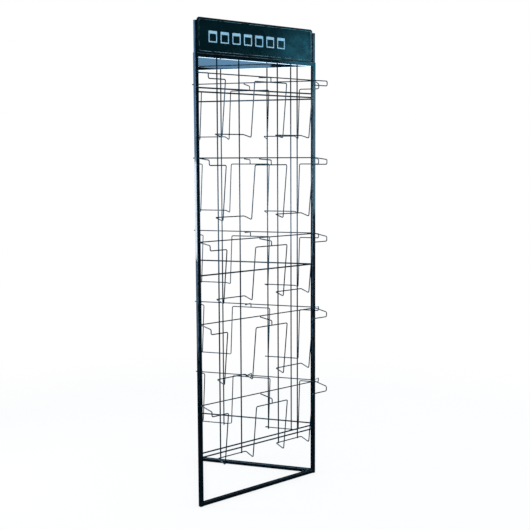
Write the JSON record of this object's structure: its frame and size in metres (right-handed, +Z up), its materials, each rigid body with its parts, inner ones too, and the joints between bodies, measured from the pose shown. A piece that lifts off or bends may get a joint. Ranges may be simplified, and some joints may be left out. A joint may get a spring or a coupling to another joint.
{
  "type": "calendar display rack",
  "caption": "Floor-standing triangular display rack of square tube, with tiers of bent-wire pockets on two faces and a plug-in header that carries sign panels.",
  "frame": {"origin": "on the floor, at the middle of the rack's bounding box seen from above", "axes": "+Z up; +X along the front face from the left post to the right post; the front face looks along -Y"},
  "size_m": [0.6854, 0.6064, 1.9363],
  "materials": {
    "frame_enamel": "gloss dark blue-green enamel on steel tube",
    "wire_enamel": "gloss dark enamel on steel wire",
    "sign_panel": "gloss dark green moulded panel",
    "glide_plastic": "matt black"
  },
  "bodies": {
    "rack_frame": {"post_left": "frame_enamel", "post_right": "frame_enamel", "post_back": "frame_enamel", "foot_glide_left": "glide_plastic", "foot_glide_right": "glide_plastic", "foot_glide_back": "glide_plastic", "base_bar_front": "frame_enamel", "base_bar_side": "frame_enamel", "base_bar_open": "frame_enamel", "top_rail_front": "frame_enamel", "top_rail_side": "frame_enamel", "top_rail_open": "frame_enamel", "front_rod_top_upper": "wire_enamel", "front_rod_top_lower": "wire_enamel", "front_rod_middle": "wire_enamel", "front_rod_bottom_upper": "wire_enamel", "front_rod_bottom_lower": "wire_enamel", "side_rod_top": "wire_enamel", "side_rod_middle": "wire_enamel", "side_rod_bottom": "wire_enamel", "front_upright_wire_1": "wire_enamel", "front_upright_wire_2": "wire_enamel", "front_upright_wire_3": "wire_enamel", "front_upright_wire_4": "wire_enamel", "side_upright_wire_1": "wire_enamel", "side_upright_wire_2": "wire_enamel", "side_upright_wire_3": "wire_enamel", "side_upright_wire_4": "wire_enamel", "front_pocket_wire_1": "wire_enamel", "front_pocket_wire_2": "wire_enamel", "front_pocket_wire_3": "wire_enamel", "front_pocket_wire_4": "wire_enamel", "front_pocket_wire_5": "wire_enamel", "side_pocket_wire_1": "wire_enamel", "side_pocket_wire_2": "wire_enamel", "side_pocket_wire_3": "wire_enamel", "side_pocket_wire_4": "wire_enamel", "side_pocket_wire_5": "wire_enamel", "front_middle_bracket_1": "wire_enamel", "front_middle_bracket_2": "wire_enamel", "front_middle_bracket_3": "wire_enamel", "front_middle_bracket_4": "wire_enamel", "front_middle_bracket_5": "wire_enamel", "side_middle_bracket_1": "wire_enamel", "side_middle_bracket_2": "wire_enamel", "side_middle_bracket_3": "wire_enamel", "side_middle_bracket_4": "wire_enamel", "side_middle_bracket_5": "wire_enamel"},
    "header_crown": {"header_stem_left": "frame_enamel", "header_stem_right": "frame_enamel", "header_stem_back": "frame_enamel", "header_panel_front": "sign_panel", "header_panel_side": "sign_panel"}
  },
  "joints": [
    {"name": "header_lift", "type": "slide", "parent": "rack_frame", "child": "header_crown", "axis": [0, 0, 1], "range_m": [0, 0.1]}
  ]
}
